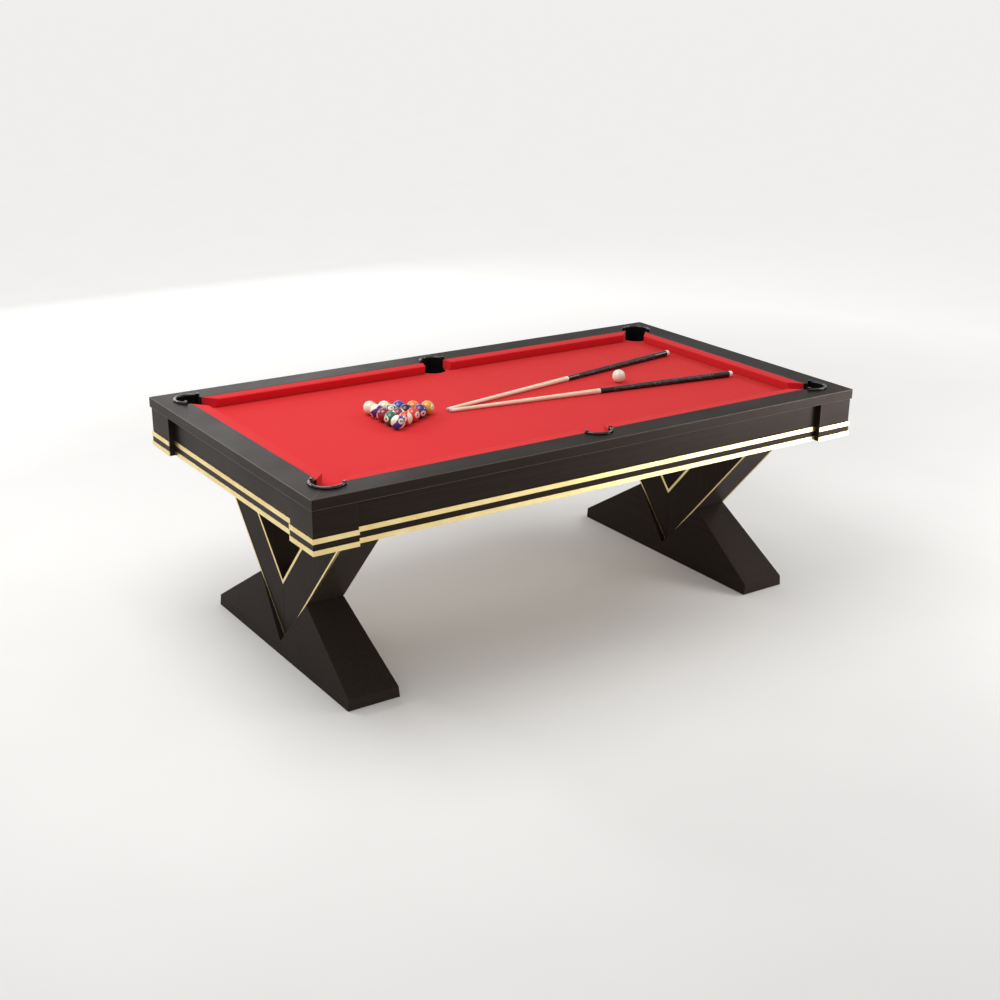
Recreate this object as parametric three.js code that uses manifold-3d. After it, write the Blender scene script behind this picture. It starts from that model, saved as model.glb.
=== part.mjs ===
// A six-pocket pool table on two V-shaped pedestals, with its cues and a racked set of balls.
//
// Frame: millimetres, +Z up, origin on the floor under the middle of the table. The long side
// runs along X and the short side along Y. Every piece is one closed solid in its own mesh.
// Neighbouring pieces stay GAP apart.

import * as THREE from 'three';
import { mergeVertices } from 'three/addons/utils/BufferGeometryUtils.js';
import Module from 'manifold-3d';

const wasm = await Module();
wasm.setup();

// ---------------------------------------------------------------- driving dimensions

const LENGTH = 2270; // over the rails, along X
const WIDTH = 1280; // over the rails, along Y
const HEIGHT = 810; // floor to rail top
const GAP = 0.3; // clearance left between touching pieces
const MANY = 600; // longer than any cut needs to reach

const RAIL = { width: 100, thickness: 37 };
const RAIL_BOTTOM = HEIGHT - RAIL.thickness;
const PLAY_Z = RAIL_BOTTOM - GAP; // playing surface of the cloth

const CLOTH_THICKNESS = 1.5;
const BED_THICKNESS = 22;
const BED_TOP = PLAY_Z - CLOTH_THICKNESS - GAP;
const BED_BOTTOM = BED_TOP - BED_THICKNESS;

// The cushion reaches CUSHION.reach past the rail and meets the pockets at slanted facings.
// A facing's mouth is how far its nose stays from the pocket's side of the playing field, and
// its slant is how far it runs on towards the pocket between the nose and the rail.
const CUSHION = { reach: 45, noseHeight: 32.2 };
const CORNER_FACING = { mouth: 62, slant: 48 };
const SIDE_FACING = { mouth: 60, slant: 14 };

// The pockets: bore is the hole's radius, rim the radius over the rubber horseshoe, inset the
// distance from the table's outer edges to the centre, and open where the horseshoe's ends
// stand, measured from the centre towards the playing field.
const CORNER_POCKET = { bore: 49, rim: 60.5, inset: 112, open: 11 };
const SIDE_POCKET = { bore: 46, rim: 57, inset: 104, open: -4.8 };
const POCKET_WALL = 3;
const POCKET_FLOOR = 655;
const RIM_RISE = 8; // how far the horseshoe stands above the rail
const RIM_END = { length: 12, rise: 10.5 };

// The cabinet below the rails: aprons between four corner blocks that stand further out.
const SKIRT_BOTTOM = 629;
const SKIRT_TOP = PLAY_Z;
const RAIL_OVERHANG = 5; // rail edge to the corner block's face
const BLOCK_LENGTH = 155;
const APRON = { recess: 21.5, thickness: 18 };
const TRIM = { web: 1.5, lip: 3.7, lipHeight: 17.4, height: 55 };

// The pedestals: a long foot with a V-shaped notch, and two mitred arms standing in it.
const PEDESTAL_X = 870;
const FOOT = { halfLength: 510, endHeight: 40, peakHeight: 252, halfBottom: 98, halfPeak: 71.5 };
const ARM = { halfThickness: 71.5, outerApex: 50, innerApex: 278, top: 640, reach: 510 };
const ARM_SLOPE = (SKIRT_BOTTOM - ARM.outerApex) / ARM.reach;
const BEAM = { width: 140, halfLength: 595, bottom: ARM.top + GAP, top: BED_BOTTOM - GAP };

const BALL_RADIUS = 25.4;
const BALL_Z = PLAY_Z + GAP + BALL_RADIUS;
const BALL_PITCH = 2 * BALL_RADIUS + GAP;
const RACK = { x: -450, y: 32, apexAngle: -121 }; // centre of the triangle, where its apex points
const RACK_ROWS = [[10], [6, 11], [7, 15, 3], [12, 14, 8, 4], [13, 9, 2, 5, 1]];
const CUE_BALL = { x: 520, y: 6 };

// Each cue lies on the cloth from its tip to its butt.
const CUE = { length: 1219, tipRadius: 6.5, buttRadius: 12, jointRadius: 9.6, joint: 622 };
const CUES = [
  { name: 'cue_1', tip: [-252, 26], butt: [948, 224] },
  { name: 'cue_2', tip: [-252, 9.5], butt: [953, -163] },
];

// ---------------------------------------------------------------- materials

function finish(color, roughness, metalness = 0) {
  return new THREE.MeshStandardMaterial({ color, roughness, metalness });
}

const LACQUER = () => finish('#2b2724', 0.42);
const CLOTH = () => finish('#d93436', 0.95);
const GOLD = () => finish('#d9b96a', 0.3, 1);
const BLACK_RUBBER = () => finish('#0d0c0c', 0.25);
const TIMBER = () => finish('#9a7b57', 0.8);
const BALL_COLOURS = ['#e9b23a', '#1f3f8f', '#e2452f', '#4b2a6b', '#f08a3e', '#1d6b4f', '#8f1d24'];

// ---------------------------------------------------------------- helpers

/** Turn a closed three.js geometry into a solid that can be joined and cut. */
function solidOf(geometry) {
  const bare = geometry.clone();
  bare.deleteAttribute('normal');
  bare.deleteAttribute('uv');
  const merged = mergeVertices(bare, 1e-4);
  const vertProperties = new Float32Array(merged.attributes.position.array);
  const triVerts = new Uint32Array(merged.index.array);
  return new wasm.Manifold(new wasm.Mesh({ numProp: 3, vertProperties, triVerts }));
}

/** Turn a solid back into a three.js geometry. */
function geometryOf(solid) {
  const result = solid.getMesh();
  const geometry = new THREE.BufferGeometry();
  geometry.setAttribute('position', new THREE.BufferAttribute(result.vertProperties, 3));
  geometry.setIndex(new THREE.BufferAttribute(result.triVerts, 1));
  geometry.computeVertexNormals();
  return geometry;
}

/** A straight prism: an outline of [x, y] points, from height z0 to z1. */
function prism(outline, z0, z1) {
  const shape = new THREE.Shape(outline.map(([x, y]) => new THREE.Vector2(x, y)));
  const geometry = new THREE.ExtrudeGeometry(shape, { depth: z1 - z0, bevelEnabled: false });
  return geometry.translate(0, 0, z0);
}

/** A prism along X: an outline of [y, z] points, from x0 to x1. */
function prismAlongX(outline, x0, x1) {
  const turn = new THREE.Matrix4().set(0, 0, 1, 0, 1, 0, 0, 0, 0, 1, 0, 0, 0, 0, 0, 1);
  return prism(outline, x0, x1).applyMatrix4(turn);
}

/** A box given by two opposite corners. */
function box(from, to) {
  const size = from.map((value, axis) => Math.abs(to[axis] - value));
  const middle = from.map((value, axis) => (value + to[axis]) / 2);
  return new THREE.BoxGeometry(...size).translate(...middle);
}

/** An upright cylinder of radius r from z0 to z1, with its axis through the origin. */
function cylinder(r, z0, z1, sides = 32) {
  const geometry = new THREE.CylinderGeometry(r, r, z1 - z0, sides);
  return geometry.rotateX(Math.PI / 2).translate(0, 0, (z0 + z1) / 2);
}

function mesh(name, geometry, material) {
  const result = new THREE.Mesh(geometry, material);
  result.name = name;
  return result;
}

/** The four sides of the table. turn brings the front side's frame round to that side. */
const SIDES = [
  { name: 'front', turn: 0, length: LENGTH, distance: WIDTH / 2, hasSidePocket: true },
  { name: 'right', turn: Math.PI / 2, length: WIDTH, distance: LENGTH / 2, hasSidePocket: false },
  { name: 'back', turn: Math.PI, length: LENGTH, distance: WIDTH / 2, hasSidePocket: true },
  { name: 'left', turn: -Math.PI / 2, length: WIDTH, distance: LENGTH / 2, hasSidePocket: false },
];

/** The four corners, with the signs of x and y there. */
const CORNERS = [
  { name: 'front_left', sx: -1, sy: -1 },
  { name: 'front_right', sx: 1, sy: -1 },
  { name: 'back_right', sx: 1, sy: 1 },
  { name: 'back_left', sx: -1, sy: 1 },
];

/** The six pockets. inward is the angle, about Z, from the pocket to the playing field. */
const POCKETS = [
  ...CORNERS.map(({ name, sx, sy }) => ({
    name,
    kind: CORNER_POCKET,
    x: sx * (LENGTH / 2 - CORNER_POCKET.inset),
    y: sy * (WIDTH / 2 - CORNER_POCKET.inset),
    inward: Math.atan2(-sy, -sx),
  })),
  ...[['front', -1], ['back', 1]].map(([name, sy]) => ({
    name: `${name}_middle`,
    kind: SIDE_POCKET,
    x: 0,
    y: sy * (WIDTH / 2 - SIDE_POCKET.inset),
    inward: Math.atan2(-sy, 0),
  })),
];

/** Put a geometry made around the origin, with +X towards the field, at its pocket. */
function atPocket(geometry, pocket) {
  return geometry.rotateZ(pocket.inward).translate(pocket.x, pocket.y, 0);
}

// ---------------------------------------------------------------- bed

/** What a pocket takes out of the bed: a hole that clears its cup, open to the outside. */
function bedCut({ kind, x, y }, sides) {
  const r = kind.bore + POCKET_WALL + GAP;
  const halfStep = Math.PI / sides;
  const hole = cylinder(r / Math.cos(halfStep), POCKET_FLOOR, HEIGHT, sides).rotateZ(halfStep);
  const [outX, outY] = [Math.sign(x), Math.sign(y)];
  const far = [x + outX * MANY, y + outY * MANY, HEIGHT];
  let cut = solidOf(hole.translate(x, y, 0));
  if (outX === 0) {
    return cut.add(solidOf(box([-r, y, POCKET_FLOOR], [r, far[1], HEIGHT])));
  }
  cut = cut.add(solidOf(box([x, y - outY * r, POCKET_FLOOR], far)));
  return cut.add(solidOf(box([x - outX * r, y, POCKET_FLOOR], far)));
}

/** A flat layer of the bed from z0 to z1, with the pockets cut out. */
function bedLayer(name, z0, z1, material, holeSides) {
  const halfX = LENGTH / 2 - RAIL_OVERHANG - APRON.recess - APRON.thickness - 2 * GAP;
  const halfY = WIDTH / 2 - RAIL_OVERHANG - APRON.recess - APRON.thickness - 2 * GAP;
  let solid = solidOf(box([-halfX, -halfY, z0], [halfX, halfY, z1]));
  for (const pocket of POCKETS) {
    solid = solid.subtract(bedCut(pocket, holeSides));
  }
  return mesh(name, geometryOf(solid), material);
}

function makeBed() {
  const bed = new THREE.Group();
  bed.add(bedLayer('bed_board', BED_BOTTOM, BED_TOP, TIMBER(), 8));
  bed.add(bedLayer('bed_cloth', PLAY_Z - CLOTH_THICKNESS, PLAY_Z, CLOTH(), 40));
  return bed;
}

// ---------------------------------------------------------------- rails and cushions

/** What a pocket takes out of the rails: its bore, and the seat of its horseshoe. */
function railCut(pocket) {
  const { bore, rim, open } = pocket.kind;
  const low = RAIL_BOTTOM - GAP;
  const high = HEIGHT + GAP;
  const mouth = box([open + GAP, -MANY, low - GAP], [MANY, MANY, high + GAP]);
  const seat = solidOf(cylinder(rim + GAP, low, high, 40)).subtract(solidOf(mouth));
  const cut = seat.add(solidOf(cylinder(bore, low, high, 40)));
  return solidOf(atPocket(geometryOf(cut), pocket));
}

/** One rail: a flat board mitred at both ends, in the front side's frame. */
function makeRail({ name, turn, length, distance }) {
  const outer = length / 2 - GAP;
  const inner = outer - RAIL.width;
  const outline = [
    [-outer, -distance],
    [outer, -distance],
    [inner, RAIL.width - distance],
    [-inner, RAIL.width - distance],
  ];
  let solid = solidOf(prism(outline, RAIL_BOTTOM, HEIGHT).rotateZ(turn));
  for (const pocket of POCKETS) {
    solid = solid.subtract(railCut(pocket));
  }
  return mesh(`rail_${name}`, geometryOf(solid), LACQUER());
}

/** A cushion's section: [how far it stands out from the rail, height] points. */
function cushionSection() {
  const nose = PLAY_Z + CUSHION.noseHeight;
  return [
    [GAP, RAIL_BOTTOM],
    [36, RAIL_BOTTOM],
    [CUSHION.reach - 1, nose - 3],
    [CUSHION.reach, nose],
    [CUSHION.reach - 2, nose + 2.2],
    [GAP, HEIGHT - 0.6],
  ];
}

/** A cushion between two facings, each given by x at the nose and x at the rail. */
function makeCushion(name, side, start, end) {
  const railEdge = RAIL.width - side.distance;
  const outline = cushionSection().map(([reach, z]) => [railEdge + reach, z]);
  const geometry = prismAlongX(outline, 0, 1);
  const points = geometry.attributes.position;
  for (let i = 0; i < points.count; i += 1) {
    const back = 1 - (points.getY(i) - railEdge) / CUSHION.reach;
    const x0 = THREE.MathUtils.lerp(start.nose, start.rail, back);
    const x1 = THREE.MathUtils.lerp(end.nose, end.rail, back);
    points.setX(i, THREE.MathUtils.lerp(x0, x1, points.getX(i)));
  }
  geometry.computeVertexNormals();
  const result = mesh(name, geometry, CLOTH());
  result.rotation.z = side.turn;
  return result;
}

/** The cushions of one side: two on a long side, one on a short side. */
function makeCushions(side) {
  const noseEnd = side.length / 2 - RAIL.width - CUSHION.reach - CORNER_FACING.mouth;
  const corner = { nose: noseEnd, rail: noseEnd + CORNER_FACING.slant };
  const middle = { nose: SIDE_FACING.mouth, rail: SIDE_FACING.mouth - SIDE_FACING.slant };
  const mirrored = ({ nose, rail }) => ({ nose: -nose, rail: -rail });
  if (!side.hasSidePocket) {
    return [makeCushion(`cushion_${side.name}`, side, mirrored(corner), corner)];
  }
  return [
    makeCushion(`cushion_${side.name}_1`, side, mirrored(corner), mirrored(middle)),
    makeCushion(`cushion_${side.name}_2`, side, middle, corner),
  ];
}

// ---------------------------------------------------------------- pockets

/** A pocket: a round cup under the bed, with a rubber horseshoe round its outer side. */
function makePocket(pocket) {
  const { bore, rim, open } = pocket.kind;
  const top = HEIGHT + RIM_RISE;
  const profile = [
    [0, POCKET_FLOOR],
    [bore + POCKET_WALL, POCKET_FLOOR],
    [bore + POCKET_WALL, RAIL_BOTTOM],
    [rim, RAIL_BOTTOM],
    [rim, top - 4],
    [rim - 3, top],
    [bore + 3, top],
    [bore, top - 4],
    [bore, POCKET_FLOOR + POCKET_WALL],
    [0, POCKET_FLOOR + POCKET_WALL],
  ];
  const points = profile.map(([r, z]) => new THREE.Vector2(r, z));
  const cup = solidOf(new THREE.LatheGeometry(points, 16).rotateX(Math.PI / 2));
  const mouth = solidOf(box([open, -MANY, PLAY_Z - CLOTH_THICKNESS], [MANY, MANY, HEIGHT + MANY]));
  let solid = cup.subtract(mouth);
  for (const side of [-1, 1]) {
    const inner = [open - RIM_END.length, side * (bore - 1), HEIGHT - 20];
    const outer = [open, side * (rim - 2.3), HEIGHT + RIM_END.rise];
    solid = solid.add(solidOf(box(inner, outer)));
  }
  const result = mesh(`pocket_${pocket.name}`, geometryOf(solid), BLACK_RUBBER());
  result.rotation.z = pocket.inward;
  result.position.set(pocket.x, pocket.y, 0);
  return result;
}

// ---------------------------------------------------------------- cabinet

/** The apron board of one side, between its two corner blocks. */
function makeApron({ name, turn, length, distance }) {
  const half = length / 2 - RAIL_OVERHANG - BLOCK_LENGTH - GAP;
  const face = RAIL_OVERHANG + APRON.recess - distance;
  const board = box([-half, face, SKIRT_BOTTOM], [half, face + APRON.thickness, SKIRT_TOP]);
  const result = mesh(`apron_${name}`, board, LACQUER());
  result.rotation.z = turn;
  return result;
}

/** An apron's metal trim: a channel whose two lips show as two bright lines. */
function makeApronTrim({ name, turn, length, distance }) {
  const half = length / 2 - RAIL_OVERHANG - BLOCK_LENGTH - 2 * GAP;
  const back = RAIL_OVERHANG + APRON.recess - GAP - distance;
  const low = SKIRT_BOTTOM;
  const high = SKIRT_BOTTOM + TRIM.height;
  const section = [
    [back, low],
    [back, high],
    [back - TRIM.lip, high],
    [back - TRIM.lip, high - TRIM.lipHeight],
    [back - TRIM.web, high - TRIM.lipHeight],
    [back - TRIM.web, low + TRIM.lipHeight],
    [back - TRIM.lip, low + TRIM.lipHeight],
    [back - TRIM.lip, low],
  ];
  const result = mesh(`trim_${name}`, prismAlongX(section, -half, half), GOLD());
  result.rotation.z = turn;
  return result;
}

/** An L-shaped outline round a corner: its outer faces at depth a, its inner ones at depth b. */
function cornerOutline({ sx, sy }, a, b) {
  const x = LENGTH / 2 - RAIL_OVERHANG;
  const y = WIDTH / 2 - RAIL_OVERHANG;
  const outline = [
    [x - a, y - a],
    [x - BLOCK_LENGTH, y - a],
    [x - BLOCK_LENGTH, y - b],
    [x - b, y - b],
    [x - b, y - BLOCK_LENGTH],
    [x - a, y - BLOCK_LENGTH],
  ];
  return outline.map(([px, py]) => [sx * px, sy * py]);
}

function makeCornerBlock(corner) {
  const outline = cornerOutline(corner, 0, APRON.recess + APRON.thickness);
  return mesh(`corner_block_${corner.name}`, prism(outline, SKIRT_BOTTOM, SKIRT_TOP), LACQUER());
}

/** The trim carried round a corner block: the apron trim's channel, bent into an L. */
function makeCornerTrim(corner) {
  const low = SKIRT_BOTTOM;
  const high = SKIRT_BOTTOM + TRIM.height;
  const web = cornerOutline(corner, -GAP - TRIM.web, -GAP);
  const lip = cornerOutline(corner, -GAP - TRIM.lip, -GAP);
  const solid = solidOf(prism(web, low, high))
    .add(solidOf(prism(lip, low, low + TRIM.lipHeight)))
    .add(solidOf(prism(lip, high - TRIM.lipHeight, high)));
  return mesh(`corner_trim_${corner.name}`, geometryOf(solid), GOLD());
}

// ---------------------------------------------------------------- pedestals

/** The long foot: sloping ends, two peaks and a V notch, its two faces leaning inwards. */
function makeFoot(name, x) {
  const notch = GAP * Math.hypot(1, ARM_SLOPE) + 0.1;
  const peakY = (FOOT.peakHeight - ARM.outerApex) / ARM_SLOPE;
  const outline = [
    [-FOOT.halfLength, 0],
    [FOOT.halfLength, 0],
    [FOOT.halfLength, FOOT.endHeight],
    [peakY, FOOT.peakHeight - notch],
    [0, ARM.outerApex - notch],
    [-peakY, FOOT.peakHeight - notch],
    [-FOOT.halfLength, FOOT.endHeight],
  ];
  const geometry = prismAlongX(outline, -1, 1);
  const points = geometry.attributes.position;
  for (let i = 0; i < points.count; i += 1) {
    const half = THREE.MathUtils.mapLinear(
      points.getZ(i), 0, FOOT.peakHeight, FOOT.halfBottom, FOOT.halfPeak);
    points.setX(i, points.getX(i) * half);
  }
  geometry.computeVertexNormals();
  const result = mesh(`foot_${name}`, geometry, LACQUER());
  result.position.x = x;
  return result;
}

/** One arm of the V, cut upright on the middle line and level at the top. */
function makeArm(name, x, sy) {
  const along = (apex, z) => (z - apex) / ARM_SLOPE;
  const mitre = GAP / 2;
  const outline = [
    [mitre, ARM.outerApex + mitre * ARM_SLOPE],
    [along(ARM.outerApex, ARM.top), ARM.top],
    [along(ARM.innerApex, ARM.top), ARM.top],
    [mitre, ARM.innerApex + mitre * ARM_SLOPE],
  ];
  const mirrored = outline.map(([y, z]) => [sy * y, z]);
  const half = ARM.halfThickness;
  return mesh(name, prismAlongX(mirrored, x - half, x + half), LACQUER());
}

/** The beam that carries the bed across the tops of the two arms. */
function makeBeam(name, x) {
  const half = BEAM.width / 2;
  const low = [x - half, -BEAM.halfLength, BEAM.bottom];
  const high = [x + half, BEAM.halfLength, BEAM.top];
  return mesh(`beam_${name}`, box(low, high), TIMBER());
}

function makePedestal(name, x) {
  const pedestal = new THREE.Group();
  pedestal.add(makeFoot(name, x));
  pedestal.add(makeArm(`arm_${name}_front`, x, -1));
  pedestal.add(makeArm(`arm_${name}_back`, x, 1));
  pedestal.add(makeBeam(name, x));
  return pedestal;
}

// ---------------------------------------------------------------- balls and cues

function ballColour(number) {
  if (number === 8) {
    return '#161616';
  }
  return BALL_COLOURS[(number - 1) % 8];
}

function makeBall(name, x, y, colour) {
  const geometry = new THREE.SphereGeometry(BALL_RADIUS, 16, 10).rotateX(Math.PI / 2);
  const result = mesh(name, geometry, finish(colour, 0.12));
  result.position.set(x, y, BALL_Z);
  return result;
}

/** The fifteen numbered balls, row by row away from the apex. */
function makeRack() {
  const rack = new THREE.Group();
  const rowStep = BALL_PITCH * Math.sin(Math.PI / 3);
  const apexReach = (2 / 3) * (RACK_ROWS.length - 1) * rowStep;
  const towardsApex = THREE.MathUtils.degToRad(RACK.apexAngle);
  const ahead = new THREE.Vector2(Math.cos(towardsApex), Math.sin(towardsApex));
  const rightward = new THREE.Vector2(-ahead.y, ahead.x);
  RACK_ROWS.forEach((numbers, row) => {
    numbers.forEach((number, place) => {
      const forward = apexReach - row * rowStep;
      const sideways = (place - row / 2) * BALL_PITCH;
      const x = RACK.x + ahead.x * forward + rightward.x * sideways;
      const y = RACK.y + ahead.y * forward + rightward.y * sideways;
      rack.add(makeBall(`ball_${number}`, x, y, ballColour(number)));
    });
  });
  return rack;
}

/** A cue turned in one piece: tip, shaft, butt and bumper, lying on the cloth. */
function makeCue({ name, tip, butt }) {
  const { length, tipRadius, buttRadius, jointRadius, joint } = CUE;
  const profile = [
    [0, 0],
    [tipRadius - 1.5, 0],
    [tipRadius, 2.5],
    [tipRadius, 20],
    [jointRadius, joint],
    [buttRadius, length - 14],
    [buttRadius - 2, length],
    [0, length],
  ];
  const points = profile.map(([r, s]) => new THREE.Vector2(r, s));
  const result = mesh(name, new THREE.LatheGeometry(points, 12), finish('#d8b48c', 0.35));
  const from = new THREE.Vector3(tip[0], tip[1], PLAY_Z + 2 * GAP + tipRadius);
  const to = new THREE.Vector3(butt[0], butt[1], PLAY_Z + 2 * GAP + buttRadius);
  const direction = to.sub(from).normalize();
  result.quaternion.setFromUnitVectors(new THREE.Vector3(0, 1, 0), direction);
  result.position.copy(from);
  return result;
}

// ---------------------------------------------------------------- the whole table

function makeTable() {
  const table = new THREE.Group();
  table.add(makeBed());
  for (const side of SIDES) {
    table.add(makeRail(side), ...makeCushions(side));
    table.add(makeApron(side), makeApronTrim(side));
  }
  for (const corner of CORNERS) {
    table.add(makeCornerBlock(corner), makeCornerTrim(corner));
  }
  for (const pocket of POCKETS) {
    table.add(makePocket(pocket));
  }
  table.add(makePedestal('left', -PEDESTAL_X), makePedestal('right', PEDESTAL_X));
  table.add(makeRack(), makeBall('cue_ball', CUE_BALL.x, CUE_BALL.y, '#eee0c8'));
  for (const cue of CUES) {
    table.add(makeCue(cue));
  }
  return table;
}

export default makeTable();
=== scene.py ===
# %% [markdown]
# # A six-pocket pool table on two V-shaped pedestals
#
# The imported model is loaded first. It says where every part of the table is, so each piece below
# is built in place around it. Sizes are written in millimetres, as a cabinet maker would, and
# become metres when a mesh is made.

# %% Load the frame
import math

import bmesh
import bpy
from mathutils import Matrix, Vector


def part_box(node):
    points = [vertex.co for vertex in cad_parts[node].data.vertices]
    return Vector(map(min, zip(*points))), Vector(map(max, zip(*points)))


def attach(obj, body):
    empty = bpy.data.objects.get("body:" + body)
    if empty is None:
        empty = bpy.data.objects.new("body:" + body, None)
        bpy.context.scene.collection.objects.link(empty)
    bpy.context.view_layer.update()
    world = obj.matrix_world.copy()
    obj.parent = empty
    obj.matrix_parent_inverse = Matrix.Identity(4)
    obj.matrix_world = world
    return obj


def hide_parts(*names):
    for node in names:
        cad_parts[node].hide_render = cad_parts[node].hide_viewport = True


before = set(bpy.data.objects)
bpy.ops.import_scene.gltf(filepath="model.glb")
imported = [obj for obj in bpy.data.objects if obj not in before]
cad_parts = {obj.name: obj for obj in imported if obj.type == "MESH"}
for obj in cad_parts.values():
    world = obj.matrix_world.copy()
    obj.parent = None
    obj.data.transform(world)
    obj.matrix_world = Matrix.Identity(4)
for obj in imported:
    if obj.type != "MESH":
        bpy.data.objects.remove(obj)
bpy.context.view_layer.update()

MM = 0.001

# %% [markdown]
# ## Measurements
#
# The outside sizes come from the loaded parts. What a box can't tell, such as the radius of a
# pocket, is written down here. "Inset" is measured from the table's outer edge.

# %% Read the main sizes
GAP = 0.3


def box_mm(node):
    low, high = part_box(node)
    return low / MM, high / MM


rail_low, rail_high = box_mm("rail_front")
apron_low, apron_high = box_mm("apron_front")
cloth_low, cloth_high = box_mm("bed_cloth")
board_low, board_high = box_mm("bed_board")
HALF_LENGTH = -rail_low.x + GAP
HALF_WIDTH = -rail_low.y
RAIL_BOTTOM = rail_low.z
RAIL_TOP = rail_high.z
PLAY_Z = cloth_high.z
SKIRT_BOTTOM = apron_low.z
RAIL_WIDTH = 100
print(f"table {2 * HALF_LENGTH:.1f} x {2 * HALF_WIDTH:.1f} mm, rail top {RAIL_TOP:.1f} mm")

# %% Sizes of the pockets, cushions and trim
CORNER = {"bore": 49, "rim": 60.5, "inset": 112, "open": 11}
MIDDLE = {"bore": 46, "rim": 57, "inset": 104, "open": -4.8}
POCKET_WALL = 3
POCKET_FLOOR = 655
RIM_RISE = 8
RIM_END = {"length": 12, "rise": 10.5}
CUSHION_REACH = 45
NOSE_HEIGHT = 32.2
CORNER_NOSE = {"long": 928, "short": 433}
CORNER_SLANT = 48
MIDDLE_NOSE = 60
MIDDLE_SLANT = 14
BLOCK_INSET = 5
BLOCK_LENGTH = 155
APRON_INSET = 26.5
APRON_THICKNESS = 18
TRIM = {"web": 1.5, "lip": 3.7, "lip_height": 17.4, "height": 55}

SIDES = [
    {"name": "front", "turn": 0, "half": HALF_LENGTH, "out": HALF_WIDTH, "kind": "long"},
    {"name": "right", "turn": 90, "half": HALF_WIDTH, "out": HALF_LENGTH, "kind": "short"},
    {"name": "back", "turn": 180, "half": HALF_LENGTH, "out": HALF_WIDTH, "kind": "long"},
    {"name": "left", "turn": -90, "half": HALF_WIDTH, "out": HALF_LENGTH, "kind": "short"},
]
CORNERS = {
    "front_left": (-1, -1),
    "front_right": (1, -1),
    "back_right": (1, 1),
    "back_left": (-1, 1),
}

# %% [markdown]
# ## The camera
#
# A table this long is drawn from one corner, so that both a long side and a short end show. The
# lens is a little longer than normal and the camera stands well back, which keeps the long edges
# from spreading too fast. It comes first because everything after it is judged through it.

# %% Stand the camera at the front left corner
AZIMUTH, ELEVATION, ROLL = math.radians(-35.10), math.radians(21.10), math.radians(0.94)
TARGET = Vector((-95, -272, 400)) * MM
DISTANCE = 5279 * MM

to_viewer = Vector((
    math.sin(AZIMUTH) * math.cos(ELEVATION),
    -math.cos(AZIMUTH) * math.cos(ELEVATION),
    math.sin(ELEVATION),
))
level_right = Vector((math.cos(AZIMUTH), math.sin(AZIMUTH), 0))
level_up = to_viewer.cross(level_right)
camera_right = math.cos(ROLL) * level_right + math.sin(ROLL) * level_up
camera_up = -math.sin(ROLL) * level_right + math.cos(ROLL) * level_up

camera_data = bpy.data.cameras.new("viewing_camera")
camera_data.sensor_width = 36
camera_data.lens = 52.6
camera_data.shift_x = -0.028
camera_data.shift_y = 0.024
camera = bpy.data.objects.new("viewing_camera", camera_data)
axes = Matrix((camera_right, camera_up, to_viewer)).transposed().to_4x4()
camera.matrix_world = Matrix.Translation(TARGET + to_viewer * DISTANCE) @ axes
bpy.context.scene.collection.objects.link(camera)
bpy.context.scene.camera = camera
print("camera stands at", [round(value, 3) for value in camera.matrix_world.translation])

# %% [markdown]
# ## Tools for finishes
#
# A finish is a small network of nodes around one Principled shader. Colours are written as sRGB
# hex, the way a paint chart gives them, and one function turns them into the linear values that
# Blender works in. One more function adds any node, sets it up and links it.

# %% Colour and node helpers
def to_linear(hex_colour):
    channels = [int(hex_colour[i:i + 2], 16) / 255 for i in (1, 3, 5)]
    linear = [c / 12.92 if c <= 0.04045 else ((c + 0.055) / 1.055) ** 2.4 for c in channels]
    return (*linear, 1)


def add_node(material, kind, settings=None, inputs=None):
    """Add a node, set its properties, and fill or link its inputs."""
    tree = material.node_tree
    node = tree.nodes.new(kind)
    for key, value in (settings or {}).items():
        setattr(node, key, value)
    for key, value in (inputs or {}).items():
        if isinstance(value, bpy.types.NodeSocket):
            tree.links.new(value, node.inputs[key])
        else:
            node.inputs[key].default_value = value
    return node


def start_material(name, fixed):
    """A new material, its shader with the values that are the same all over, and its place."""
    material = bpy.data.materials.new(name)
    material.use_nodes = True
    shader = material.node_tree.nodes["Principled BSDF"]
    for key, value in fixed.items():
        shader.inputs[key].default_value = value
    place = add_node(material, "ShaderNodeTexCoord").outputs["Object"]
    return material, shader, place


def wire(material, shader, links):
    for key, socket in links.items():
        material.node_tree.links.new(socket, shader.inputs[key])


MIX_FACTOR, MIX_A, MIX_B, MIX_RESULT = 0, 6, 7, 2
MIX_COLOURS = {"data_type": "RGBA"}


def blend_colours(material, factor, first, second):
    colours = {MIX_FACTOR: factor, MIX_A: first, MIX_B: second}
    return add_node(material, "ShaderNodeMix", MIX_COLOURS, colours).outputs[MIX_RESULT]


def span(material, value, from_low, from_high, to_low, to_high):
    """Stretch a value from one range to another, and stop at both ends."""
    limits = {"Value": value, "From Min": from_low, "From Max": from_high}
    limits.update({"To Min": to_low, "To Max": to_high})
    return add_node(material, "ShaderNodeMapRange", {}, limits).outputs["Result"]


# %% [markdown]
# ### Black-brown lacquer
#
# The cabinet is veneered board sprayed with a satin nitrocellulose lacquer, tinted almost black.
# A real one is sanded and sprayed in thin coats, so the grain barely telegraphs through and the
# sheen is soft, with a very slight ripple. It could be a plain dark gloss, but the long faint
# streaks along the board are what make it read as wood and not as plastic.

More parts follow.
